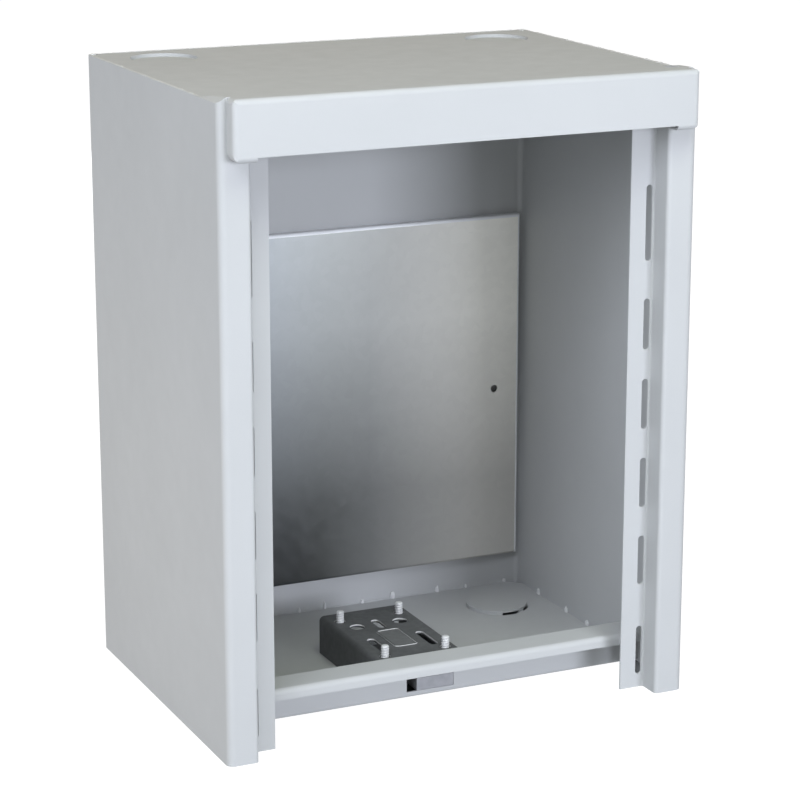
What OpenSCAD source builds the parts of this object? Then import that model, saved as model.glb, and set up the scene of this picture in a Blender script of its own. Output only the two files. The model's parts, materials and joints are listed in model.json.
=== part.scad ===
// Roadside utility cabinet with an open front: a folded steel shell with slotted door jambs, a roof pan, a
// drip-cap header, a floor tray with a raised front ledge, a mounting plate, a stud bracket and a lock keeper.
// The origin is on the ground, in the middle of the footprint. The open front faces -Y.

/* [Cabinet] */
// Width over the side walls
cabinet_w = 470; // [420:1:600]
// Depth from the front of the jambs to the back of the cabinet
cabinet_d = 350; // [310:1:450]
// Height of the roof above the ground
cabinet_h = 600; // [570:1:800]
// Thickness of the folded sheet
sheet = 2; // [1.5:0.1:2.5]
// Outer radius of the upright corner folds
corner_r = 7; // [5:0.5:10]
// Outer radius of the smaller folds
fold_r = 4; // [3:0.25:5]

/* [Door jambs] */
// Width of a jamb's front face
face_w = 30; // [24:1:40]
// Depth from a jamb's front face back to its flange
return_d = 24; // [18:1:34]
// Width of a jamb's flange, from the return to its free edge
flange_w = 25; // [18:1:34]
// Width of the slots in the flanges
slot_w = 6.5; // [5:0.5:9]
// Length of the five equal slots
slot_l = 49; // [30:1:60]
// Length of the long slot at the top
top_slot_l = 72; // [50:1:90]
// Height of the lowest slot's middle above the ground
low_slot_z = 38; // [32:1:50]
// Height of the slot row's first middle above the ground
row_slot_z = 129.5; // [115:0.5:140]
// Distance between the slots of the row
slot_pitch = 77.5; // [65:0.5:80]
// Number of slots in the row
slot_count = 4; // [1:1:4]
// Distance from the row's last slot up to the middle of the long slot
top_slot_rise = 96.5; // [85:0.5:100]
// Distance from a flange's inner fold to the edge of its slots
slot_edge = 0.2; // [0.1:0.1:2]

/* [Header] */
// How far the header stands out in front of the jambs
header_proud = 16.5; // [10:0.5:25]
// How far the header rises above the roof
header_rise = 5; // [3:0.5:8]
// Height of the header's front
header_h = 50.5; // [40:0.5:65]
// Distance that each end of the header is set in from the side wall
header_inset = 8; // [4:0.5:10]
// Outer radius of the header's folds
header_r = 5; // [3.5:0.5:7]
// Outer radius of the header's two lower corners
header_corner_r = 9; // [6:0.5:12]
// How much lower the header reaches in front of each jamb
tab_drop = 4.5; // [4:0.5:8]
// Depth of the header's hem on the roof
hem_d = 6; // [5:0.5:10]
// Length of the ear at each end of the header
ear_l = 46; // [30:1:70]
// Width of each ear
ear_w = 12; // [8:1:18]

/* [Floor tray] */
// Height of the floor's underside above the ground
floor_z = 3; // [2:0.5:10]
// Distance from the jambs' front back to the tray's upstand
upstand_setback = 82; // [70:1:100]
// Distance from the jambs' front back to the ledge's lip
ledge_setback = 47.5; // [40:0.5:55]
// Height of the ledge above the ground
ledge_z = 47; // [40:0.5:60]
// Height of the lip that hangs from the ledge
lip_h = 10.5; // [8:0.5:14]
// Outer radius of the fold between ledge and lip
lip_r = 5; // [3.5:0.5:7]
// How far the floor's rear corners are cut off
floor_corner_cut = 14; // [8:0.5:20]

/* [Knockouts] */
// Radius of the round knockouts
knock_r = 32; // [20:0.5:36]
// Distance of the knockouts from the cabinet's middle
knock_x = 176; // [120:1:180]
// Distance of the roof knockouts' middle from the back of the cabinet
roof_knock_back = 54; // [50:1:75]
// Distance of the floor knockouts' middle from the back of the cabinet
floor_knock_back = 67; // [50:1:75]
// Depth that the roof's knockouts are pressed in
knock_dish = 3; // [2:0.5:6]
// Height that the floor's knockouts are pressed up
knock_lift = 4; // [3:0.5:6]
// Width of the slit in the floor where a knockout is cut free
knock_slit_w = 1.5; // [1:0.1:1.8]
// Angle over which the slit runs, with the bridge in it
knock_slit_angle = 76; // [40:1:120]
// Angle of the bridge that is left in the slit
knock_bridge_angle = 13; // [8:1:16]

/* [Mounting plate] */
// Width of the mounting plate
plate_w = 455; // [300:1:455]
// Height of the mounting plate
plate_h = 370; // [250:1:400]
// Height of the plate's lower edge above the ground
plate_z = 40; // [20:1:80]
// Depth of the plate's folded rim, from the back wall to its face
plate_d = 10; // [8:1:35]
// Thickness of the plate
plate_sheet = 1.5; // [1:0.1:2.5]
// Outer radius of the plate's folds
plate_r = 3; // [2.75:0.25:5]
// Radius of the hole at each side of the plate
plate_hole_r = 4; // [2:0.25:6]
// Distance of those holes from the plate's side edges
plate_hole_edge = 29; // [15:1:50]

/* [Stud bracket] */
// Width of the bracket
bracket_w = 90; // [80:1:130]
// Depth of the bracket
bracket_d = 140; // [130:1:165]
// Height of the bracket above the floor
bracket_h = 38.5; // [34:0.5:60]
// Thickness of the bracket's sheet
bracket_sheet = 3; // [2:0.25:4]
// Outer radius of the bracket's folds
bracket_r = 5; // [4.5:0.25:7]
// Distance of the bracket's middle from the cabinet's middle
bracket_x = -5; // [-20:1:20]
// Gap between the tray's upstand and the bracket
bracket_gap = 3; // [2.5:0.5:8]
// Diameter of the studs
stud_d = 8; // [6:0.5:10]
// Height of the studs above the bracket
stud_h = 11; // [8:0.5:30]
// Distance between studs across the bracket
stud_span_x = 64; // [56:0.5:70]
// Distance between studs along the bracket
stud_span_y = 108; // [100:1:115]
// Distance from the bracket's front to the front studs
stud_front = 10; // [9:0.5:15]
// Diameter of the head that holds a stud under the bracket
stud_head_d = 15; // [14:0.5:16]
// Thickness of that head
stud_head_h = 3; // [2:0.5:5]
// Clearance all round a stud in its hole
stud_clear = 1.5; // [1.2:0.1:1.8]
// Radius of the two round cable holes
cable_hole_r = 7.5; // [5:0.5:8]
// Distance between the round cable holes
cable_hole_span = 46; // [40:1:55]
// Distance from the bracket's front to the round cable holes
cable_hole_y = 96; // [90:1:99]
// Width of the bracket's slots
tie_slot_w = 8.5; // [6:0.5:10]
// Length of the slot in the middle
mid_slot_l = 25; // [15:1:28]
// Length of the two front slots
front_slot_l = 40; // [25:1:44]
// Distance between the two front slots
front_slot_span = 52; // [46:1:58]
// Distance from the bracket's front to the front slots' middle
front_slot_y = 40; // [38:1:48]
// Width of the raised frame on the bracket's top
pad_w = 25; // [15:1:30]
// Length of the raised frame
pad_l = 49; // [25:1:55]
// Distance from the bracket's front to the raised frame's middle
pad_y = 52.5; // [45:0.5:55]
// Radius of the raised frame's corners
pad_r = 5; // [3:0.5:8]
// Width of the raised frame's bead
pad_bead_w = 1.5; // [1:0.1:2]
// Height of that bead above the bracket's top
pad_bead_h = 0.8; // [0.4:0.1:1.5]

/* [Lock keeper] */
// Width of the lock opening in the upstand
lock_w = 50; // [35:1:60]
// Height of the lock opening
lock_h = 13; // [8:0.5:18]
// Height of the lock opening's lower edge above the ground
lock_z = 9; // [8.5:0.5:15]
// Distance of the lock opening's middle from the cabinet's middle
lock_x = 4; // [-10:1:6]
// Width of the keeper's face
keeper_w = 39; // [25:1:46]
// Depth of the keeper behind the upstand
keeper_d = 20; // [12:1:30]
// How far the keeper laps the upstand beside the opening
keeper_lap = 6; // [3:0.5:8]
// Clearance of the keeper's face in the opening
keeper_clear = 0.3; // [0.1:0.05:0.5]

/* [Hidden] */
$fn = 64;
right_angle = 90;
// Small overrun of a cut past the face that it leaves
overrun = 1;
// Depth of the rims that the roof turns down inside the walls
roof_rim = 15;
// Extra radius that keeps the corners of the roof clear of the walls' folds
corner_relief = 1;
// The ear's knee along its length, and the part of the header's rise that it has there
knee_share = 0.63;
knee_rise_share = 0.6;
// Plan angle at which the slit of a floor knockout starts, and the share of it in front of the bridge
slit_start = -105;
slit_share = 0.48;

half_w = cabinet_w / 2;
inner_half_w = half_w - sheet;
jamb_y = -(cabinet_d - header_proud) / 2;
back_y = (cabinet_d + header_proud) / 2;
inner_back_y = back_y - sheet;
jamb_x = half_w - face_w;
flange_y = jamb_y + return_d;
flange_fold_x = jamb_x + sheet - fold_r;
slot_x = flange_fold_x - slot_edge - slot_w / 2;
top_slot_z = row_slot_z + (slot_count - 1) * slot_pitch + top_slot_rise;
roof_under = cabinet_h - sheet;
header_half_w = half_w - header_inset;
header_front_y = jamb_y - header_proud;
header_back_y = jamb_y + hem_d;
header_top = cabinet_h + header_rise;
header_low = header_top - header_h;
tab_low = header_low - tab_drop;
upstand_y = jamb_y + upstand_setback;
upstand_back_y = upstand_y + sheet;
lip_y = jamb_y + ledge_setback;
floor_top = floor_z + sheet;
roof_knock_y = back_y - roof_knock_back;
floor_knock_y = back_y - floor_knock_back;
slit_front_angle = knock_slit_angle * slit_share;
slit_rear_start = slit_start + slit_front_angle + knock_bridge_angle;
slit_rear_angle = knock_slit_angle - slit_front_angle - knock_bridge_angle;
plate_face_y = inner_back_y - plate_d;
plate_top = plate_z + plate_h;
bracket_y = upstand_back_y + bracket_gap;
bracket_top = floor_top + bracket_h;
lock_right = lock_x + lock_w / 2;

coat = "gainsboro";
zinc = "silver";
dark = "dimgray";

// A rectangle between two corners
module span(x0, y0, x1, y1) {
    translate([x0, y0]) square([x1 - x0, y1 - y0]);
}

// The quarter of a folded sheet's bend that lies in one quadrant round its centre
module bend(x, y, r, quadrant) {
    translate([x, y]) rotate(quadrant * right_angle) intersection() {
        difference() {
            circle(r);
            circle(r - sheet);
        }
        square(r);
    }
}

// A plan outline with four round corners
module round_plan(half, y0, y1, r) {
    span(-half, y0 + r, half, y1 - r);
    span(-half + r, y0, half - r, y1);
    for (x = [-half + r, half - r], y = [y0 + r, y1 - r]) translate([x, y]) circle(r);
}

// A section in Y and Z, drawn out along X about the middle
module along_x(length) {
    rotate([right_angle, 0, right_angle]) linear_extrude(length, center = true) children();
}

// A front outline in X and Z, drawn out along Y
module along_y(y0, y1) {
    translate([0, y1, 0]) rotate([right_angle, 0, 0]) linear_extrude(y1 - y0) children();
}

// A plan outline, drawn out along Z
module along_z(z0, z1) {
    translate([0, 0, z0]) linear_extrude(z1 - z0) children();
}

module both_sides() {
    children();
    mirror([1, 0, 0]) children();
}

// An upright slot cut along Y, with round ends
module upright_slot(x, z, length) {
    straight = length - slot_w;
    along_y(flange_y - overrun, flange_y + sheet + overrun) {
        translate([x - slot_w / 2, z - straight / 2]) square([slot_w, straight]);
        for (end = [-1, 1]) translate([x, z + end * straight / 2]) circle(slot_w / 2);
    }
}

// Right half of the shell's folded sheet, seen from above
module half_wall() {
    span(0, inner_back_y, half_w - corner_r, back_y);
    bend(half_w - corner_r, back_y - corner_r, corner_r, 0);
    span(inner_half_w, jamb_y + corner_r, half_w, back_y - corner_r);
    bend(half_w - corner_r, jamb_y + corner_r, corner_r, 3);
    span(jamb_x + fold_r, jamb_y, half_w - corner_r, jamb_y + sheet);
    bend(jamb_x + fold_r, jamb_y + fold_r, fold_r, 2);
    span(jamb_x, jamb_y + fold_r, jamb_x + sheet, flange_y + sheet - fold_r);
    bend(flange_fold_x, flange_y + sheet - fold_r, fold_r, 0);
    span(jamb_x - flange_w, flange_y, flange_fold_x, flange_y + sheet);
}

// The roof's blank: it fills the walls and reaches the front between the jambs
module roof_plan() {
    round_plan(inner_half_w, jamb_y + sheet, inner_back_y, corner_r - sheet + corner_relief);
    span(-jamb_x, jamb_y, jamb_x, jamb_y + corner_r);
}

module shell() {
    color(coat) difference() {
        both_sides() along_z(0, cabinet_h) half_wall();
        along_z(roof_under, cabinet_h + overrun) roof_plan();
        both_sides() {
            upright_slot(slot_x, low_slot_z, slot_l);
            for (i = [0 : slot_count - 1]) upright_slot(slot_x, row_slot_z + i * slot_pitch, slot_l);
            upright_slot(slot_x, top_slot_z, top_slot_l);
        }
    }
}

module roof() {
    color(coat) difference() {
        union() {
            along_z(roof_under, cabinet_h) roof_plan();
            along_z(cabinet_h - roof_rim, roof_under) {
                rim_x = inner_half_w - corner_r;
                span(-rim_x, inner_back_y - sheet, rim_x, inner_back_y);
                both_sides() span(inner_half_w - sheet, jamb_y + corner_r, inner_half_w, inner_back_y - corner_r);
            }
            both_sides() translate([knock_x, roof_knock_y, roof_under - knock_dish])
                cylinder(r = knock_r + sheet, h = knock_dish + sheet);
        }
        both_sides() translate([knock_x, roof_knock_y, cabinet_h - knock_dish])
            cylinder(r = knock_r, h = knock_dish + overrun);
    }
}

// The header's section, set in by some thickness: a front with round folds above and below, and a hem over the roof
module header_section(inset) {
    front = header_front_y + inset;
    low = tab_low + inset;
    top = header_top - inset;
    r = header_r - inset;
    span(front, low + r, jamb_y, top - r);
    span(front + r, low, jamb_y, top);
    for (z = [low + r, top - r]) translate([front + r, z]) circle(r);
    span(jamb_y - overrun, cabinet_h, header_back_y - inset, top);
}

// The header seen from above, with round front corners
module header_plan(inset) {
    half = header_half_w - inset;
    r = header_r - inset;
    span(-half, header_front_y + inset + r, half, header_back_y);
    span(-half + r, header_front_y + inset, half - r, header_back_y);
    for (x = [-half + r, half - r]) translate([x, header_front_y + inset + r]) circle(r);
}

// The header seen from the front, set in by some thickness: small round corners above, large ones below
module header_front(inset) {
    half = header_half_w - inset;
    low = tab_low + inset;
    top = header_top - inset;
    r = header_r - inset;
    corner = header_corner_r - inset;
    span(-half, low + corner, half, top - r);
    span(-half + r, low + corner, half - r, top);
    span(-half + corner, low, half - corner, top - r);
    for (side = [-1, 1]) {
        translate([side * (half - corner), low + corner]) circle(corner);
        translate([side * (half - r), top - r]) circle(r);
    }
}

// The room that the header's sheet encloses, or the sheet's outside if nothing is set in
module header_block(inset) {
    intersection() {
        along_x(2 * header_half_w) header_section(inset);
        along_z(tab_low, header_top) header_plan(inset);
        along_y(header_front_y, header_back_y) header_front(inset);
    }
}

// The ear at the header's end: it slopes down to the side wall and back to the roof
module ear() {
    intersection() {
        along_x(cabinet_w) polygon([
            [jamb_y, cabinet_h],
            [jamb_y + ear_l, cabinet_h],
            [jamb_y + ear_l * knee_share, cabinet_h + header_rise * knee_rise_share],
            [jamb_y, header_top]
        ]);
        along_y(jamb_y, jamb_y + ear_l) polygon([
            [half_w - ear_w, cabinet_h],
            [half_w, cabinet_h],
            [half_w - header_inset, header_top],
            [half_w - ear_w, header_top]
        ]);
        along_z(cabinet_h, header_top) round_plan(half_w, jamb_y, back_y, corner_r);
    }
}

module header() {
    color(coat) union() {
        difference() {
            header_block(0);
            header_block(sheet);
            along_y(header_front_y - overrun, jamb_y + overrun) span(-jamb_x, tab_low - overrun, jamb_x, header_low);
        }
        both_sides() ear();
    }
}

// The tray's folded section: floor, upstand, ledge and lip
module tray_section() {
    span(upstand_y + fold_r, floor_z, inner_back_y, floor_top);
    bend(upstand_y + fold_r, floor_z + fold_r, fold_r, 2);
    span(upstand_y, floor_z + fold_r, upstand_back_y, ledge_z - fold_r);
    bend(upstand_back_y - fold_r, ledge_z - fold_r, fold_r, 0);
    span(lip_y + lip_r, ledge_z - sheet, upstand_back_y - fold_r, ledge_z);
    bend(lip_y + lip_r, ledge_z - lip_r, lip_r, 1);
    span(lip_y, ledge_z - lip_h, lip_y + sheet, ledge_z - lip_r);
}

// The tray seen from above, with its rear corners cut off
module tray_plan() {
    cut_x = inner_half_w - floor_corner_cut;
    cut_y = inner_back_y - floor_corner_cut;
    polygon([
        [-inner_half_w, lip_y],
        [inner_half_w, lip_y],
        [inner_half_w, cut_y],
        [cut_x, inner_back_y],
        [-cut_x, inner_back_y],
        [-inner_half_w, cut_y]
    ]);
}

// One stretch of a floor knockout's free edge: a slit in the floor and a window under the pressed-up disc
module knockout_slit(start, angle) {
    inner = knock_r - sheet - overrun;
    translate([0, 0, floor_z - overrun]) rotate(start) rotate_extrude(angle = angle)
        translate([inner, 0]) square([knock_r + knock_slit_w - inner, knock_lift + overrun]);
}

module at_floor_knockouts() {
    both_sides() translate([knock_x, floor_knock_y, 0]) children();
}

module floor_tray() {
    color(coat) difference() {
        union() {
            intersection() {
                along_x(2 * inner_half_w) tray_section();
                along_z(0, cabinet_h) tray_plan();
            }
            at_floor_knockouts() along_z(floor_z, floor_top + knock_lift) circle(knock_r);
        }
        at_floor_knockouts() along_z(floor_z - overrun, floor_z + knock_lift) circle(knock_r - sheet);
        at_floor_knockouts() knockout_slit(slit_start, slit_front_angle);
        at_floor_knockouts() knockout_slit(slit_rear_start, slit_rear_angle);
        translate([lock_right - lock_w, upstand_y - overrun, lock_z]) cube([lock_w, sheet + 2 * overrun, lock_h]);
    }
}

// A pan's outline with folds along all four edges of its face, set in by some thickness
module plate_block(inset) {
    half = plate_w / 2 - inset;
    r = plate_r - inset;
    face = plate_face_y + inset;
    low = plate_z + inset;
    high = plate_top - inset;
    end = inner_back_y + inset;
    intersection() {
        along_z(low, high) {
            span(-half, face + r, half, end);
            span(-half + r, face, half - r, end);
            for (x = [-half + r, half - r]) translate([x, face + r]) circle(r);
        }
        along_x(2 * half) {
            span(face + r, low, end, high);
            span(face, low + r, end, high - r);
            for (z = [low + r, high - r]) translate([face + r, z]) circle(r);
        }
    }
}

module mounting_plate() {
    color(zinc) difference() {
        plate_block(0);
        plate_block(plate_sheet);
        both_sides() translate([plate_w / 2 - plate_hole_edge, plate_face_y - overrun, plate_z + plate_h / 2])
            rotate([-right_angle, 0, 0]) cylinder(r = plate_hole_r, h = plate_sheet + 2 * overrun);
    }
}

// The bracket's folded channel seen from the front, set in by some thickness
module channel_front(inset) {
    half = bracket_w / 2 - inset;
    top = bracket_top - inset;
    r = bracket_r - inset;
    span(-half, floor_top, half, top - r);
    span(-half + r, floor_top, half - r, top);
    for (x = [-half + r, half - r]) translate([x, top - r]) circle(r);
}

// A slot along the bracket, with round ends
module tie_slot(x, y, length) {
    straight = length - tie_slot_w;
    translate([x - tie_slot_w / 2, y - straight / 2]) square([tie_slot_w, straight]);
    for (end = [-1, 1]) translate([x, y + end * straight / 2]) circle(tie_slot_w / 2);
}

// A rounded rectangle about the middle
module round_rect(w, l, r) {
    square([w - 2 * r, l], center = true);
    square([w, l - 2 * r], center = true);
    for (x = [r - w / 2, w / 2 - r], y = [r - l / 2, l / 2 - r]) translate([x, y]) circle(r);
}

module at_studs() {
    for (x = [-stud_span_x / 2, stud_span_x / 2], y = [stud_front, stud_front + stud_span_y])
        translate([bracket_x + x, bracket_y + y, bracket_top - bracket_sheet]) children();
}

module stud_bracket() {
    color(dark) difference() {
        translate([bracket_x, 0, 0]) {
            difference() {
                along_y(bracket_y, bracket_y + bracket_d) channel_front(0);
                along_y(bracket_y - overrun, bracket_y + bracket_d + overrun) channel_front(bracket_sheet);
            }
            translate([0, bracket_y + pad_y, 0]) along_z(bracket_top, bracket_top + pad_bead_h) difference() {
                round_rect(pad_w, pad_l, pad_r);
                round_rect(pad_w - 2 * pad_bead_w, pad_l - 2 * pad_bead_w, pad_r - pad_bead_w);
            }
        }
        at_studs() translate([0, 0, -overrun])
            cylinder(r = stud_d / 2 + stud_clear, h = bracket_sheet + 2 * overrun);
        translate([bracket_x, bracket_y, 0]) along_z(bracket_top - bracket_sheet - overrun, bracket_top + overrun) {
            tie_slot(0, cable_hole_y, mid_slot_l);
            for (side = [-1, 1]) {
                translate([side * cable_hole_span / 2, cable_hole_y]) circle(cable_hole_r);
                tie_slot(side * front_slot_span / 2, front_slot_y, front_slot_l);
            }
        }
    }
}

// Four studs, each with a flat head against the underside of the bracket's top
module bracket_studs() {
    color(zinc) at_studs() {
        cylinder(r = stud_d / 2, h = bracket_sheet + stud_h);
        translate([0, 0, -stud_head_h]) cylinder(r = stud_head_d / 2, h = stud_head_h);
    }
}

// The keeper's face fills the right of the lock opening, and its block laps the back of the upstand
module lock_keeper() {
    left = lock_right - keeper_clear - keeper_w;
    low = lock_z + keeper_clear;
    high = lock_z + lock_h - keeper_clear;
    color(zinc) union() {
        along_y(upstand_y, upstand_back_y + keeper_d) span(left, low, lock_right - keeper_clear, high);
        along_y(upstand_back_y, upstand_back_y + keeper_d) span(left, low, lock_right + keeper_lap, high);
    }
}

shell();
roof();
header();
floor_tray();
mounting_plate();
stud_bracket();
bracket_studs();
lock_keeper();
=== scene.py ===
# %% [markdown]
# # An open roadside cabinet, dressed as in its photograph
#
# The cabinet is a box of folded steel sheet with a light grey powder coat. Its construction is already
# there as a frame of solids: shell, roof, header, floor tray, mounting plate, bracket, studs and lock
# keeper. This lesson adds what the solids leave out: the finish of each sheet, the threads of the studs
# and the small welds that hold the sheets together. It also sets up a plain studio, and a camera where the
# photographer stood.

# %% Load the frame
import json
import math
import random

import bmesh
import bpy
from mathutils import Euler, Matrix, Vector, noise


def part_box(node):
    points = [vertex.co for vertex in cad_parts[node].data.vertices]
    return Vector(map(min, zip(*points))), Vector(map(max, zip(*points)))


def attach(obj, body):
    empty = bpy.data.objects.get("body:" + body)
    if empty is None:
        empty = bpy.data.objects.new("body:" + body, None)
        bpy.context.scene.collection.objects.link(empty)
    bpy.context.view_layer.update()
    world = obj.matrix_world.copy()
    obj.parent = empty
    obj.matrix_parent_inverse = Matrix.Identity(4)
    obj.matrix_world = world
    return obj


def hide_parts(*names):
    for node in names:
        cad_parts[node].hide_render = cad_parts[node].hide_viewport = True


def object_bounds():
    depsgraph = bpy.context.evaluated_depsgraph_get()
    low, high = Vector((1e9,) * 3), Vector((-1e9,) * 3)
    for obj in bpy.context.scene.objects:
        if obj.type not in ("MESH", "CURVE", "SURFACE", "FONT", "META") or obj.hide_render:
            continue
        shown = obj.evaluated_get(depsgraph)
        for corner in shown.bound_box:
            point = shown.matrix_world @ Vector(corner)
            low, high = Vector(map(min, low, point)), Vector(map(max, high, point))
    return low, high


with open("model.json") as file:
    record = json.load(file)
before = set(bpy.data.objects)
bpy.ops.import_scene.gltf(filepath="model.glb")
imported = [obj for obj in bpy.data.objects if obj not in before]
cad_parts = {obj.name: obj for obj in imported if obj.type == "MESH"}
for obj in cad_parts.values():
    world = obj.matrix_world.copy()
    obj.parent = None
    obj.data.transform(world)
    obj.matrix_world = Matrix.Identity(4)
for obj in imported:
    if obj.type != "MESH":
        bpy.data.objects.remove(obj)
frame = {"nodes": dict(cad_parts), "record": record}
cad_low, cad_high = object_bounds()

MM = 0.001
scene = bpy.context.scene
nodes = frame["nodes"]
print("nodes:", sorted(nodes))
print("box in mm:", [round(v / MM, 1) for v in (cad_high - cad_low)])

# %% [markdown]
# ## The camera
#
# A product photographer stands well back with a long lens, so that the upright edges stay nearly
# parallel. The viewpoint could be found by trial, but here it follows from the cabinet's corners: their
# places in the picture give the distance, the turn to the left of the front, the height and the lens.

# %% Put the camera where the photographer stood
EYE = Vector((-1.026, -2.2595, 0.9358))
VIEW_TURN = math.radians(-24.65)
VIEW_DOWN = math.radians(14.89)
LENS = 120.0
SENSOR_WIDTH = 36.0

camera_data = bpy.data.cameras.new("photo_camera")
camera_data.lens = LENS
camera_data.sensor_width = SENSOR_WIDTH
camera = bpy.data.objects.new("photo_camera", camera_data)
scene.collection.objects.link(camera)
camera.location = EYE
camera.rotation_euler = Euler((math.pi / 2 - VIEW_DOWN, 0, VIEW_TURN))
scene.camera = camera
print("camera stands", round((EYE - (cad_low + cad_high) / 2).length, 2), "m from the cabinet's middle")

# %% [markdown]
# ## The lamps
#
# The photograph was cut out onto white, and the light on the cabinet shows how it stood before. A cool
# lamp in front, a little to the right, shines in through the opening, and the right jamb's soft shadow
# darkens that side of the back wall. Two lamps at the left light the side, the right inner wall and the
# floor. One high above the front serves the roof and the ledge, a warm one high behind adds to the roof,
# and a small card on the ground brightens the foot of the left side.
#
# The photograph doesn't show the back. One more lamp stands low behind the cabinet, with its middle under
# the roof's level, so that the back can be looked at too and the front view hardly changes. Metal would
# show a bare lamp as a hard bright patch, so these lamps light the surfaces without being mirrored.

# %% Hang the lamps
MIDDLE = Vector((0, 0, 0.3))


def soft_light(name, place, size, power, colour, mirrored=False):
    """A flat lamp that faces the cabinet's middle and isn't seen itself."""
    lamp_data = bpy.data.lights.new(name, "AREA")
    lamp_data.shape = "RECTANGLE"
    lamp_data.size, lamp_data.size_y = size
    lamp_data.energy = power
    lamp_data.color = colour
    lamp = bpy.data.objects.new(name, lamp_data)
    lamp.location = place
    lamp.rotation_euler = (MIDDLE - Vector(place)).to_track_quat("-Z", "Y").to_euler()
    lamp.visible_camera = False
    lamp.visible_glossy = mirrored
    scene.collection.objects.link(lamp)
    print("lamp", name, "at", tuple(round(v, 2) for v in place), "power", power)
    return lamp


soft_light("front_lamp", place=(0.70, -3.28, 0.89), size=(1.2, 0.8), power=76, colour=(0.83, 0.87, 1.0))
soft_light("high_left_lamp", place=(-1.60, -1.90, 2.62), size=(1.6, 1.2), power=43, colour=(0.85, 0.89, 1.0))
soft_light("side_lamp", place=(-2.80, -1.62, 1.35), size=(1.4, 1.1), power=39, colour=(0.84, 0.90, 1.0))
soft_light("roof_lamp", place=(0.0, -1.54, 3.33), size=(1.4, 1.1), power=50, colour=(0.93, 1.0, 0.88))
soft_light("back_lamp", place=(0.0, 2.19, 2.90), size=(2.0, 1.6), power=18, colour=(1.0, 0.62, 0.28))
soft_light("rear_lamp", place=(0.60, 3.10, 0.42), size=(1.6, 0.6), power=32, colour=(0.92, 0.96, 1.0))
soft_light("foot_card", place=(-0.87, 0.08, 0.07), size=(0.7, 0.3), power=1.6, colour=(1.0, 0.90, 0.78))

# %% [markdown]
# ## A card for the metal
#
# The galvanised plate needs something bright to mirror, or it looks like grey paint. A photographer sets
# a low white card in front of such an object. Here the upper half of the plate mirrors the card, so the
# plate fades from its top to its foot. The coated fronts would mirror the card too, so its light is linked
# to the plate alone.

# %% Set up the card
zinc_card = soft_light(
    "zinc_card", place=(0.25, -2.20, 0.32), size=(1.5, 0.6), power=13, colour=(0.90, 0.95, 1.0), mirrored=True
)
plate_alone = bpy.data.collections.new("plate_alone")
plate_alone.objects.link(nodes["mounting_plate"])
zinc_card.light_linking.receiver_collection = plate_alone

# %% [markdown]
# ## The air
#
# The pale walls of a studio glow round the horizon, and its ceiling is dark. A plain white world would
# light the inside of the cabinet too evenly, so here the glow fades with the height of the direction that
# it comes from.

# %% Let the air glow
HORIZON_GLOW = 0.62
OVERHEAD_GLOW = 0.06
FADE_START = 0.15
FADE_STOP = 0.40

air = bpy.data.worlds.new("studio_air")
air.use_nodes = True
sky = air.node_tree
height = sky.nodes.new("ShaderNodeSeparateXYZ")
fade = sky.nodes.new("ShaderNodeMapRange")
fade.inputs["From Min"].default_value = FADE_START
fade.inputs["From Max"].default_value = FADE_STOP
fade.inputs["To Min"].default_value = HORIZON_GLOW
fade.inputs["To Max"].default_value = OVERHEAD_GLOW
sky.nodes["Background"].inputs["Color"].default_value = (1, 1, 1, 1)
sky.links.new(sky.nodes.new("ShaderNodeTexCoord").outputs["Generated"], height.inputs[0])
sky.links.new(height.outputs["Z"], fade.inputs["Value"])
sky.links.new(fade.outputs["Result"], sky.nodes["Background"].inputs["Strength"])
scene.world = air
scene.view_settings.view_transform = "Standard"
print("air glows", HORIZON_GLOW, "at the horizon and", OVERHEAD_GLOW, "overhead")

# %% [markdown]
# ## Two floors
#
# A floor that is as white as the paper would also light the cabinet strongly from below, and the
# photograph doesn't show that. So there are two discs, one a millimetre above the other. The camera sees
# the white one, and the surfaces see the dimmer one.

# %% Lay both floors
FLOOR_RADIUS = 30.0
FLOOR_SIDES = 96
FLOOR_GAP = 1 * MM
FLOOR_PALE = (0.15, 0.15, 0.15, 1)
FLOOR_ROUGHNESS = 0.9
WHITE = (1, 1, 1, 1)
WHITE_GLOW = 1.0
COOL_WHITE = (0.88, 0.94, 1.0, 1)
DIM_GLOW = 0.43


def lay_disc(name, z, glow_colour, glow):
    """A round floor that glows."""
    mesh = bpy.data.meshes.new(name)
    disc = bmesh.new()
    bmesh.ops.create_circle(disc, cap_ends=True, segments=FLOOR_SIDES, radius=FLOOR_RADIUS)
    disc.to_mesh(mesh)
    disc.free()
    floor = bpy.data.objects.new(name, mesh)
    floor.location.z = z
    scene.collection.objects.link(floor)
    material = bpy.data.materials.new(name)
    material.use_nodes = True
    shader = material.node_tree.nodes["Principled BSDF"]
    shader.inputs["Base Color"].default_value = FLOOR_PALE
    shader.inputs["Roughness"].default_value = FLOOR_ROUGHNESS
    shader.inputs["Specular IOR Level"].default_value = 0.0
    shader.inputs["Emission Color"].default_value = glow_colour
    shader.inputs["Emission Strength"].default_value = glow
    mesh.materials.append(material)
    print(name, "at", round(z / MM, 1), "mm glows", glow)
    return floor


white_floor = lay_disc("white_floor", cad_low.z, WHITE, WHITE_GLOW)
white_floor.visible_diffuse = False
white_floor.visible_glossy = False
white_floor.visible_shadow = False
dim_floor = lay_disc("dim_floor", cad_low.z - FLOOR_GAP, COOL_WHITE, DIM_GLOW)
dim_floor.visible_camera = False

# %% [markdown]
# ## Shade under the cabinet
#
# The ground under the floor tray lies in the dark, and so does the ground in the two channels beside the
# jambs. A floor that glows shows no shadow, and white would shine through the slits and the lowest slots.
# Grey patches just above the white floor cover those places. The ground in front of the tray stays white,
# as in the photograph.

# %% Shade the ground
SHADE_START = 80 * MM
CHANNEL_CORNERS = [(30, -6), (0, -6), (0, 40), (16, 40)]
SHADE_TONE = (0.30, 0.30, 0.30, 1)

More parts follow.
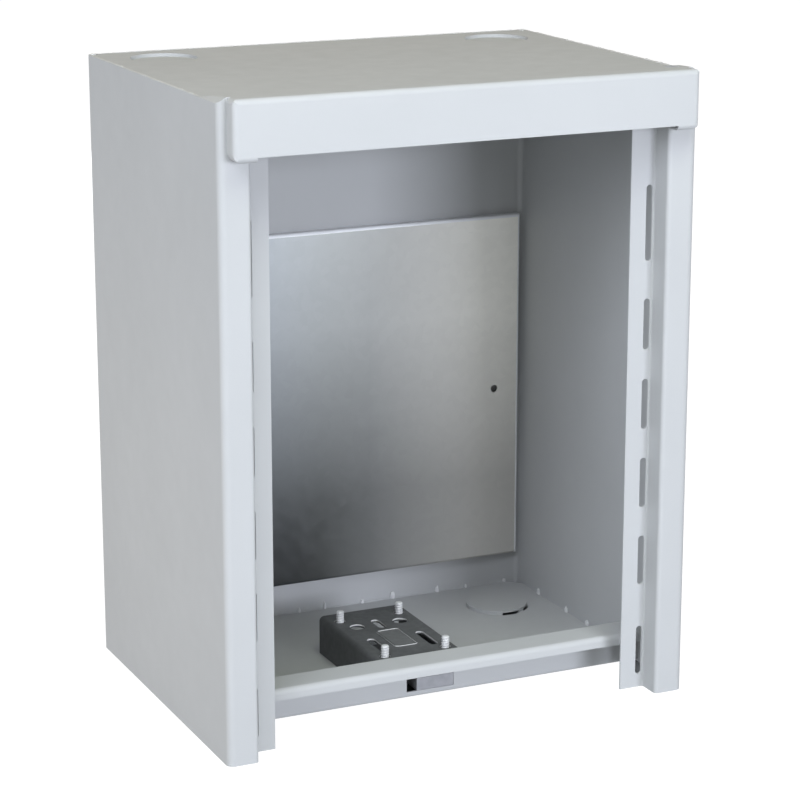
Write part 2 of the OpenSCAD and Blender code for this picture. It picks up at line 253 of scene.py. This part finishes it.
tray_low, tray_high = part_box("floor_tray")
shade = bmesh.new()


def shade_patch(corners):
    """A flat patch just above the white floor."""
    shade.faces.new([shade.verts.new((x, y, cad_low.z + FLOOR_GAP)) for x, y in corners])


shade_y = tray_low.y + SHADE_START
left_x = tray_low.x
right_x = tray_high.x
back_y = tray_high.y
shade_patch([(left_x, shade_y), (right_x, shade_y), (right_x, back_y), (left_x, back_y)])
shade_patch([(right_x - x * MM, tray_low.y + y * MM) for x, y in CHANNEL_CORNERS])
shade_patch([(left_x + x * MM, tray_low.y + y * MM) for x, y in reversed(CHANNEL_CORNERS)])
shade_mesh = bpy.data.meshes.new("shaded_ground")
shade.to_mesh(shade_mesh)
shade.free()
shaded_ground = bpy.data.objects.new("shaded_ground", shade_mesh)
scene.collection.objects.link(shaded_ground)
dim_ground = bpy.data.materials.new("dim_ground")
dim_ground.use_nodes = True
dim_shader = dim_ground.node_tree.nodes["Principled BSDF"]
dim_shader.inputs["Base Color"].default_value = SHADE_TONE
dim_shader.inputs["Roughness"].default_value = FLOOR_ROUGHNESS
shade_mesh.materials.append(dim_ground)
print("shaded ground from y", round(shade_y / MM), "to", round(back_y / MM), "mm")

# %% [markdown]
# ## Tools for the finishes
#
# Each finish is a small tree of shader nodes. The pieces share one frame in metres, so a pattern that
# reads the object's own coordinates has its real scale: a noise of scale 500 has grains about two
# millimetres wide. Short helpers keep the trees easy to read. The first five start a material, add a
# noise, turn a grey pattern into values or into colours, and raise it as a bump.


# %% Helpers for patterns
def begin_finish(name):
    """A new material with its main shader and its object coordinates."""
    material = bpy.data.materials.new(name)
    material.use_nodes = True
    tree = material.node_tree
    shader = tree.nodes["Principled BSDF"]
    place = tree.nodes.new("ShaderNodeTexCoord").outputs["Object"]
    return material, tree, shader, place


def add_noise(tree, place, scale, detail=2.0, stretch=(1, 1, 1)):
    """Grey noise in the object's own coordinates, stretched along an axis if asked."""
    mapping = tree.nodes.new("ShaderNodeMapping")
    mapping.inputs["Scale"].default_value = stretch
    grains = tree.nodes.new("ShaderNodeTexNoise")
    grains.inputs["Scale"].default_value = scale
    grains.inputs["Detail"].default_value = detail
    tree.links.new(place, mapping.inputs["Vector"])
    tree.links.new(mapping.outputs["Vector"], grains.inputs["Vector"])
    return grains.outputs["Fac"]


def to_range(tree, grey, low, high, start=0.3, stop=0.7):
    """Maps a grey pattern onto a range of values."""
    ranged = tree.nodes.new("ShaderNodeMapRange")
    ranged.inputs["From Min"].default_value = start
    ranged.inputs["From Max"].default_value = stop
    ranged.inputs["To Min"].default_value = low
    ranged.inputs["To Max"].default_value = high
    tree.links.new(grey, ranged.inputs["Value"])
    return ranged.outputs["Result"]


def to_colours(tree, grey, stops):
    """Maps a grey pattern onto colours, given as pairs of place and colour."""
    ramp = tree.nodes.new("ShaderNodeValToRGB")
    marks = ramp.color_ramp.elements
    while len(marks) < len(stops):
        marks.new(0.5)
    for mark, (place, colour) in zip(marks, stops):
        mark.position = place
        mark.color = (*colour, 1)
    tree.links.new(grey, ramp.inputs["Fac"])
    return ramp.outputs["Color"]


def add_bump(tree, shader, grey, depth, strength=1.0):
    """Raises the surface by a grey pattern, to a depth in metres."""
    bump = tree.nodes.new("ShaderNodeBump")
    bump.inputs["Strength"].default_value = strength
    bump.inputs["Distance"].default_value = depth
    tree.links.new(grey, bump.inputs["Height"])
    tree.links.new(bump.outputs["Normal"], shader.inputs["Normal"])


print("helpers ready: finish, noise, range, colours, bump")

# %% [markdown]
# ## Masks
#
# Some finishes change at a certain place, such as a fold or the wall of a hole. One could split the mesh
# there and give it two materials. A mask in the shader leaves the solid whole: it is 1 where a coordinate
# lies between two limits, and 0 elsewhere.


# %% Helpers for masks
def split(tree, vector):
    """The X, Y and Z of a vector."""
    parts = tree.nodes.new("ShaderNodeSeparateXYZ")
    tree.links.new(vector, parts.inputs[0])
    return parts.outputs


def maths(tree, operation, first, second):
    """One step of arithmetic. The second value is another socket or a plain number."""
    step = tree.nodes.new("ShaderNodeMath")
    step.operation = operation
    tree.links.new(first, step.inputs[0])
    if isinstance(second, (int, float)):
        step.inputs[1].default_value = second
    else:
        tree.links.new(second, step.inputs[1])
    return step.outputs[0]


def times(tree, first, second):
    """Two masks multiplied, so where both are 1."""
    return maths(tree, "MULTIPLY", first, second)


def between(tree, value, low, high):
    """1 where a value lies between two limits, otherwise 0."""
    return times(tree, maths(tree, "GREATER_THAN", value, low), maths(tree, "LESS_THAN", value, high))


def blend(tree, mask, colour, other):
    """One colour where the mask is 0, and another, constant one where it is 1."""
    mix = tree.nodes.new("ShaderNodeMix")
    mix.data_type = "RGBA"
    mix.inputs["B"].default_value = (*other, 1)
    tree.links.new(mask, mix.inputs["Factor"])
    tree.links.new(colour, mix.inputs["A"])
    return mix.outputs["Result"]


print("helpers ready: split, maths, times, between, blend")

# %% [markdown]
# ## The powder coat
#
# Powder coat is sprayed on as a dust and then baked, so it melts into a skin with a fine orange peel and a
# satin gloss. A flat grey would look like plastic. Here a slow noise varies the grey by a percent or two,
# a second one varies the gloss, and a fine one raises the orange peel. Under the bracket the floor is
# painted near black as painted shade, so that the bracket's long slots look black.

# %% Mix the powder coat
COAT_TONES = [(0.3, (0.472, 0.478, 0.476)), (0.7, (0.488, 0.494, 0.492))]
# Painted shade: near black on the floor under the bracket.
PAINTED_SHADE_TONE = (0.02, 0.02, 0.02)
EDGE_MARGIN = 1 * MM
PEEL_DEPTH = 0.05 * MM


def powder_coat(name, painted_shade_box=None):
    """The sheets' coat, with painted shade inside a box if one is given."""
    material, tree, shader, place = begin_finish(name)
    tone = to_colours(tree, add_noise(tree, place, scale=9, detail=3), COAT_TONES)
    if painted_shade_box:
        low, high = painted_shade_box
        where = split(tree, place)
        painted_shade_x = between(tree, where["X"], low.x + EDGE_MARGIN, high.x - EDGE_MARGIN)
        painted_shade_y = between(tree, where["Y"], low.y + EDGE_MARGIN, high.y - EDGE_MARGIN)
        # Painted shade: the floor under the bracket turns near black.
        tone = blend(tree, times(tree, painted_shade_x, painted_shade_y), tone, PAINTED_SHADE_TONE)
    tree.links.new(tone, shader.inputs["Base Color"])
    gloss = add_noise(tree, place, scale=45, detail=3)
    tree.links.new(to_range(tree, gloss, low=0.38, high=0.48), shader.inputs["Roughness"])
    peel = add_noise(tree, place, scale=520)
    add_bump(tree, shader, peel, PEEL_DEPTH, strength=0.6)
    return material


coat = powder_coat("light_grey_coat")
floor_coat_with_painted_shade = powder_coat("light_grey_floor_coat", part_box("stud_bracket"))
print("finishes:", coat.name, floor_coat_with_painted_shade.name)

# %% [markdown]
# ## The galvanised plate
#
# The mounting plate is bare steel with a zinc skin. Zinc sets in crystals, the spangle, and each crystal
# tilts its own way, so neighbouring ones differ a little in brightness and gloss. Cells of a Voronoi
# pattern give one random value per crystal. In the photograph the zinc is grey, cool and shiny at the left
# and turns duller and faintly olive towards the right, so a slow change along X carries tone and shine.
# Its paleness towards the right is painted reflection, carried by the same change. The plate is painted
# darker low down, a painted shade, and a second change, along Z, carries that. The upper and right folds
# are painted pale as a painted highlight. A noise that is stretched sideways adds the faint lines of the
# rolling mill.


# %% Two more mixes
def tint(tree, colour, shade):
    """Multiplies a colour by a grey shade."""
    mix = tree.nodes.new("ShaderNodeMix")
    mix.data_type = "RGBA"
    mix.blend_type = "MULTIPLY"
    mix.inputs["Factor"].default_value = 1
    tree.links.new(colour, mix.inputs["A"])
    tree.links.new(shade, mix.inputs["B"])
    return mix.outputs["Result"]


def larger(tree, first, second):
    """The larger of two masks, so where either is 1."""
    return maths(tree, "MAXIMUM", first, second)


print("helpers ready: tint, larger")

# %% Grow the spangle
PLATE_FOLD = 3 * MM
SPANGLE_SCALE = 130
# The pale right end of these tones is partly painted reflection.
ZINC_TONES_WITH_PAINTED_REFLECTION = [(0.30, (0.360, 0.380, 0.415)), (0.62, (0.480, 0.485, 0.480)), (0.90, (0.980, 0.955, 0.880))]
FACET_TONES = [(0.0, (0.965, 0.965, 0.965)), (1.0, (1.0, 1.0, 1.0))]
# Painted highlight on the upper and right folds.
PAINTED_HIGHLIGHT_TONE = (0.86, 0.87, 0.88)
# Painted shade: the plate darkens towards its foot by this factor.
PAINTED_FOOT_SHADE = 0.48
FOOT_H = 90 * MM
HEAD_START = 270 * MM
ROLLING_STRETCH = (0.05, 1, 1)
ROLLING_DEPTH = 0.02 * MM


def galvanised():
    """The plate's zinc skin."""
    low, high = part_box("mounting_plate")
    material, tree, shader, place = begin_finish("galvanised_zinc")
    spangle = tree.nodes.new("ShaderNodeTexVoronoi")
    spangle.inputs["Scale"].default_value = SPANGLE_SCALE
    tree.links.new(place, spangle.inputs["Vector"])
    crystal = tree.nodes.new("ShaderNodeSeparateColor")
    tree.links.new(spangle.outputs["Color"], crystal.inputs["Color"])
    where = split(tree, place)
    across = to_range(tree, where["X"], 0, 1, start=low.x, stop=high.x)
    # Painted shade, darker low down.
    painted_low_shade = to_range(tree, where["Z"], PAINTED_FOOT_SHADE, 1, start=low.z + FOOT_H, stop=low.z + HEAD_START)
    facet = to_colours(tree, crystal.outputs["Red"], FACET_TONES)
    tone = tint(tree, tint(tree, to_colours(tree, across, ZINC_TONES_WITH_PAINTED_REFLECTION), facet), painted_low_shade)
    # Painted highlight along the upper and right folds, pale and less metallic.
    upper_fold = between(tree, where["Z"], high.z - PLATE_FOLD, high.z + PLATE_FOLD)
    right_fold = between(tree, where["X"], high.x - PLATE_FOLD, high.x + PLATE_FOLD)
    painted_highlight_folds = larger(tree, upper_fold, right_fold)
    tree.links.new(blend(tree, painted_highlight_folds, tone, PAINTED_HIGHLIGHT_TONE), shader.inputs["Base Color"])
    plate_shine = to_range(tree, across, 1.0, 0.0, start=0.50, stop=0.88)
    fold_shine = to_range(tree, painted_highlight_folds, 1.0, 0.1, start=0, stop=1)
    tree.links.new(times(tree, plate_shine, fold_shine), shader.inputs["Metallic"])
    gloss = to_range(tree, crystal.outputs["Green"], 0.31, 0.37, start=0, stop=1)
    tree.links.new(gloss, shader.inputs["Roughness"])
    rolling = add_noise(tree, place, scale=300, detail=3, stretch=ROLLING_STRETCH)
    add_bump(tree, shader, rolling, ROLLING_DEPTH, strength=0.4)
    return material


galvanised_zinc = galvanised()
print("finish:", galvanised_zinc.name)

# %% [markdown]
# ## The dark bracket
#
# The bracket has a thin dark grey paint with little gloss, and a slightly paler field in its raised frame.
# The rims of its holes look bright, so here their walls are painted a pale steel grey. The solid is one
# mesh, so the shader finds those walls by itself: they stand upright, near the top, and they lie well
# inside the bracket's outline.

# %% Paint the bracket and its hole walls
BRACKET_RIM = 5.5 * MM
PALE_WALL_DEPTH = 2.2 * MM
UPRIGHT = 0.5
FIELD_X = (34 * MM, 56 * MM)
FIELD_Y = (29.5 * MM, 75.5 * MM)
PAINT_TONES = [(0.3, (0.082, 0.085, 0.086)), (0.7, (0.104, 0.107, 0.108))]
FIELD_TONE = (0.130, 0.133, 0.133)
# The upright walls of the holes are painted this pale grey.
PALE_HOLE_WALL_TONE = (0.62, 0.62, 0.60)
PAINT_GRAIN_DEPTH = 0.04 * MM


def bracket_paint():
    """The bracket's dark paint, with pale walls in its holes."""
    low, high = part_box("stud_bracket")
    material, tree, shader, place = begin_finish("dark_bracket_paint")
    where = split(tree, place)
    facing = split(tree, tree.nodes.new("ShaderNodeNewGeometry").outputs["True Normal"])
    inside_x = between(tree, where["X"], low.x + BRACKET_RIM, high.x - BRACKET_RIM)
    inside_y = between(tree, where["Y"], low.y + EDGE_MARGIN, high.y - EDGE_MARGIN)
    at_top = between(tree, where["Z"], high.z - PALE_WALL_DEPTH, high.z + EDGE_MARGIN)
    upright_wall = between(tree, facing["Z"], -UPRIGHT, UPRIGHT)
    pale_hole_walls = times(tree, times(tree, inside_x, inside_y), times(tree, at_top, upright_wall))
    field_x = between(tree, where["X"], low.x + FIELD_X[0], low.x + FIELD_X[1])
    field_y = between(tree, where["Y"], low.y + FIELD_Y[0], low.y + FIELD_Y[1])
    paint = to_colours(tree, add_noise(tree, place, scale=60, detail=4), PAINT_TONES)
    paint = blend(tree, times(tree, field_x, field_y), paint, FIELD_TONE)
    tree.links.new(blend(tree, pale_hole_walls, paint, PALE_HOLE_WALL_TONE), shader.inputs["Base Color"])
    gloss = add_noise(tree, place, scale=160, detail=3)
    tree.links.new(to_range(tree, gloss, low=0.44, high=0.58), shader.inputs["Roughness"])
    add_bump(tree, shader, add_noise(tree, place, scale=700), PAINT_GRAIN_DEPTH, strength=0.5)
    return material


dark_paint = bracket_paint()
print("finish:", dark_paint.name)

# %% [markdown]
# ## Zinc plating and coated welds
#
# The studs have a thin bright zinc plating. It is a metal finish, a little cloudy, with fine tool marks,
# so noise drives both its gloss and its tone. The lock keeper is a duller block, so it has its own mix
# with less shine. The weld drops are painted paler than the sheet round them, as a painted highlight, and
# the roof's seams only a little paler. They are taken to be coated like the sheet, so the same recipe
# without metal makes both.

# %% Plate the small parts
TOOL_MARK_DEPTH = 0.02 * MM
PLATING_METAL = 0.35


def cloudy_finish(name, dark_tone, pale_tone, gloss_range, metallic=0.0):
    """A finish whose tone and gloss wander together, between two limits each."""
    material, tree, shader, place = begin_finish(name)
    shader.inputs["Metallic"].default_value = metallic
    clouds = add_noise(tree, place, scale=130, detail=4)
    tone = to_colours(tree, clouds, [(0.3, dark_tone), (0.7, pale_tone)])
    tree.links.new(tone, shader.inputs["Base Color"])
    tree.links.new(to_range(tree, clouds, *gloss_range), shader.inputs["Roughness"])
    add_bump(tree, shader, add_noise(tree, place, scale=900), TOOL_MARK_DEPTH, strength=0.5)
    return material


plated_zinc = cloudy_finish(
    "zinc_plating", (0.80, 0.80, 0.80), (0.90, 0.90, 0.89), (0.34, 0.46), PLATING_METAL
)
dull_zinc = cloudy_finish("dull_zinc", (0.38, 0.38, 0.40), (0.46, 0.46, 0.48), (0.42, 0.55), PLATING_METAL)
# Painted highlight: the weld drops are painted paler than the sheet.
weld_coat_painted_highlight = cloudy_finish("coated_weld_painted_highlight", (0.64, 0.64, 0.64), (0.76, 0.76, 0.76), (0.26, 0.36))
seam_coat = cloudy_finish("coated_seam", (0.54, 0.54, 0.53), (0.62, 0.62, 0.61), (0.34, 0.44))
print("finishes:", plated_zinc.name, dull_zinc.name, weld_coat_painted_highlight.name, seam_coat.name)

# %% [markdown]
# ## Dressing the solids
#
# The coated sheets look alike in the photograph, so they share one finish, and the floor differs only by
# its patch of painted shade. The studs aren't in this list, because a threaded piece takes their place.

# %% Dress the solids
FINISHES = {
    "shell": coat,
    "roof": coat,
    "header": coat,
    "floor_tray": floor_coat_with_painted_shade,
    "mounting_plate": galvanised_zinc,
    "stud_bracket": dark_paint,
    "lock_keeper": dull_zinc,
}
for name, finish in FINISHES.items():
    for slot in nodes[name].material_slots:
        slot.material = finish
    print(name, "wears", finish.name)

# %% [markdown]
# ## Helpers for new pieces
#
# Threads and welds are bars and drops with a wandering surface. A bar is a row of rings, so one helper
# joins rings into a closed skin. Everything that is added becomes a mesh in the cabinet's own frame, with
# a finish, and rides on the cabinet's one body, so it can't drift from the sheet that carries it.


# %% Skin a bar and make a piece
def skin_rings(builder, rings):
    """Joins rings of points into one closed bar."""
    loops = [[builder.verts.new(point) for point in ring] for ring in rings]
    sides = len(loops[0])
    for near, far in zip(loops, loops[1:]):
        for i in range(sides):
            j = (i + 1) % sides
            builder.faces.new((near[i], near[j], far[j], far[i]))
    builder.faces.new(reversed(loops[0]))
    builder.faces.new(loops[-1])


def add_piece(name, builder, finish):
    """Turns what was built into a smooth piece with a finish, carried by the cabinet."""
    mesh = bpy.data.meshes.new(name)
    bmesh.ops.recalc_face_normals(builder, faces=builder.faces)
    builder.to_mesh(mesh)
    builder.free()
    mesh.polygons.foreach_set("use_smooth", [True] * len(mesh.polygons))
    mesh.materials.append(finish)
    piece = bpy.data.objects.new(name, mesh)
    scene.collection.objects.link(piece)
    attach(piece, "root")
    print("piece", name, "with", len(mesh.polygons), "faces")
    return piece


print("helpers ready: rings, pieces")

# %% [markdown]
# ## Threads on the studs
#
# The solids hold the studs as plain cylinders, but the photograph shows their threads. A thread could be
# a bump, but then the stud's outline would stay straight. Here each stud is a turned bar whose radius
# rises and falls along a helix: at any point the thread's phase is the height in pitches less the turn
# round the axis.

# %% Shape one threaded stud
PITCH = 2.5 * MM
THREAD_DEPTH = 0.6 * MM
FLANK_SLOPE = 1.3
FLANK_SHIFT = 0.15
STEPS_ROUND = 36
STEPS_A_PITCH = 10
HEAD_H = 3 * MM
HEAD_R = 7.5 * MM
TIP_CHAMFER = 1.0 * MM

stud_mount = next(m for m in frame["record"]["mounts"] if m["name"] == "stud_pattern")
stud_r = stud_mount["dims"]["stud_r_mm"] * MM
stud_low, stud_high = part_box("bracket_studs")


def thread_point(centre, z, turn_step):
    """A point of the thread at one height and one step round the axis."""
    turn = 2 * math.pi * turn_step / STEPS_ROUND
    phase = (z / PITCH - turn_step / STEPS_ROUND) % 1
    groove = min(1, max(0, FLANK_SLOPE * abs(2 * phase - 1) - FLANK_SHIFT))
    r = min(stud_r - THREAD_DEPTH * groove, stud_r - TIP_CHAMFER + (stud_high.z - z))
    return (centre.x + r * math.cos(turn), centre.y + r * math.sin(turn), z)


def plain_ring(centre, z, r):
    """A round ring, as round the stud's head."""
    turns = [2 * math.pi * i / STEPS_ROUND for i in range(STEPS_ROUND)]
    return [(centre.x + r * math.cos(t), centre.y + r * math.sin(t), z) for t in turns]


def add_stud(builder, centre):
    """A flat head, and above it a threaded shank with a chamfered tip."""
    shank_z = stud_low.z + HEAD_H
    rows = math.ceil((stud_high.z - shank_z) / PITCH * STEPS_A_PITCH)
    rings = [plain_ring(centre, stud_low.z, HEAD_R), plain_ring(centre, shank_z, HEAD_R)]
    for row in range(rows + 1):
        z = shank_z + (stud_high.z - shank_z) * row / rows
        rings.append([thread_point(centre, z, step) for step in range(STEPS_ROUND)])
    skin_rings(builder, rings)


print("studs of radius", stud_r / MM, "mm, from", round(stud_low.z / MM, 1), "to", round(stud_high.z / MM, 1))

# %% Stand the four studs on the bracket
studs = bmesh.new()
half_x = stud_mount["dims"]["spacing_x_mm"] * MM / 2
half_y = stud_mount["dims"]["spacing_y_mm"] * MM / 2
for side in (-1, 1):
    for end in (-1, 1):
        add_stud(studs, Vector(stud_mount["pos_m"]) + Vector((side * half_x, end * half_y, 0)))
threaded_studs = add_piece("threaded_studs", studs, plated_zinc)
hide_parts("bracket_studs")

# %% [markdown]
# ## Weld tacks
#
# The floor is held to the walls by short tacks of weld. Each is a small drop that has run a little before
# it set. A smooth ball would look moulded, so a drop starts as a fine ball, and noise pushes its surface
# in and out. The rear ones also differ in size, by the draw of dice that always fall the same way.

# %% Drop the tacks
TACK_ROUGHNESS = 0.35
TACK_GRAIN = 1.6
SEED_SKEW = 2.7


def add_tack(builder, place, size, seed):
    """A lumpy drop. Its size is given as half its width, depth and height."""
    ball = bmesh.ops.create_icosphere(builder, subdivisions=3, radius=1.0)
    shift = Vector((seed, SEED_SKEW * seed, 0))
    for vertex in ball["verts"]:
        lump = 1 + TACK_ROUGHNESS * noise.noise(vertex.co * TACK_GRAIN + shift)
        vertex.co = Vector(vertex.co[i] * lump * size[i] for i in range(3)) + Vector(place)


FLOOR_SHEET = 2 * MM
REAR_TACKS = [-205, -168, -139, -96, -58, -22, 7, 50, 85, 137, 171, 217]
SIDE_TACKS = [-28, 21, 66, 129]
TACK_INSET = 0.6 * MM
TACK_DEPTH = 1.5 * MM
REAR_WIDTHS = (1.2, 2.6)
REAR_HEIGHTS = (2.6, 5.6)
SIDE_SIZE = (TACK_DEPTH, 2.8 * MM, 4.2 * MM)
SIDE_RISE = 1.6 * MM
SIDE_SEED = 20

floor_top = tray_low.z + FLOOR_SHEET
tacks = bmesh.new()
dice = random.Random(11)
for i, x in enumerate(REAR_TACKS):
    tack_w = dice.uniform(*REAR_WIDTHS) * MM
    tack_h = dice.uniform(*REAR_HEIGHTS) * MM
    place = (x * MM, tray_high.y - TACK_INSET, floor_top + tack_h / 2)
    add_tack(tacks, place, (tack_w, TACK_DEPTH, tack_h), i)
for i, y in enumerate(SIDE_TACKS):
    for side in (-1, 1):
        place = (side * (tray_high.x - TACK_INSET), y * MM, floor_top + SIDE_RISE)
        add_tack(tacks, place, SIDE_SIZE, SIDE_SEED + i)
add_piece("floor_tacks", tacks, weld_coat_painted_highlight)

# %% [markdown]
# ## Weld beads
#
# A thin bead runs along the floor's back. It could be a plain tube, but a welder's hand is never that
# even. So a bead is a thin oval bar, half sunk in its seam, whose thickness wanders with a noise and runs
# out at both ends.

# %% Run the floor's bead
BEAD_STEP = 2 * MM
BEAD_SIDES = 10
FEWEST_STEPS = 6
TAPER_STEPS = 4
BEAD_ROUGHNESS = 0.55
BEAD_GRAIN = 9 * MM


def add_bead(builder, start, stop, width, height, seed):
    """A bead from one end of a seam to the other. Its height counts from the seam."""
    along = stop - start
    steps = max(FEWEST_STEPS, round(along.length / BEAD_STEP))
    sideways = along.cross(Vector((0, 0, 1))).normalized()
    rings = []
    for step in range(steps + 1):
        place = start + along * step / steps
        taper = min(1, (1 + min(step, steps - step)) / TAPER_STEPS)
        lump = taper * (1 + BEAD_ROUGHNESS * noise.noise(place / BEAD_GRAIN + Vector((seed, 0, 0))))
        ring = []
        for i in range(BEAD_SIDES):
            turn = 2 * math.pi * i / BEAD_SIDES
            rise = Vector((0, 0, lump * height * math.sin(turn)))
            ring.append(place + sideways * lump * width / 2 * math.cos(turn) + rise)
        rings.append(ring)
    skin_rings(builder, rings)


FLOOR_BEAD_END = 20 * MM
FLOOR_BEAD_RISE = 0.2 * MM

bead_x = tray_high.x - FLOOR_BEAD_END
bead_z = floor_top + FLOOR_BEAD_RISE
bead_left = Vector((-bead_x, tray_high.y, bead_z))
bead_right = Vector((bead_x, tray_high.y, bead_z))
floor_weld = bmesh.new()
add_bead(floor_weld, bead_left, bead_right, width=2.4 * MM, height=1.0 * MM, seed=3)
add_piece("floor_bead", floor_weld, coat)

# %% [markdown]
# ## The roof's seams
#
# The roof is a pan set in between the walls, welded along both sides and the back and then ground nearly
# flush. A low bead shows all along, with a few larger drops at the sides and one in each rear corner.

# %% Weld the roof
ROOF_DROPS = [86, 20, -74, -100]
ROOF_BEAD_FRONT = -118 * MM
ROOF_BEAD_END = 8 * MM
SIDE_BEAD_SEED = 5
DROP_SIZE = (1.7 * MM, 3.4 * MM, 1.0 * MM)
DROP_SEED = 40
SIDE_GAP = 5
CORNER_INSET = 3 * MM
CORNER_SIZE = (3.2 * MM, 2.6 * MM, 0.9 * MM)
CORNER_SEED = 50

roof_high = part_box("roof")[1]
roof_weld = bmesh.new()
for side in (-1, 1):
    edge = side * roof_high.x
    front_end = Vector((edge, ROOF_BEAD_FRONT, roof_high.z))
    back_end = Vector((edge, roof_high.y - ROOF_BEAD_END, roof_high.z))
    add_bead(roof_weld, front_end, back_end, width=2.4 * MM, height=0.6 * MM, seed=SIDE_BEAD_SEED + side)
    for i, y in enumerate(ROOF_DROPS):
        add_tack(roof_weld, (edge, y * MM, roof_high.z), DROP_SIZE, DROP_SEED + i + SIDE_GAP * side)
    corner = (edge - side * CORNER_INSET, roof_high.y - CORNER_INSET, roof_high.z)
    add_tack(roof_weld, corner, CORNER_SIZE, CORNER_SEED + side)
rear_x = roof_high.x - ROOF_BEAD_END
left_end = Vector((-rear_x, roof_high.y, roof_high.z))
right_end = Vector((rear_x, roof_high.y, roof_high.z))
add_bead(roof_weld, left_end, right_end, width=2.2 * MM, height=0.5 * MM, seed=9)
add_piece("roof_welds", roof_weld, seam_coat)
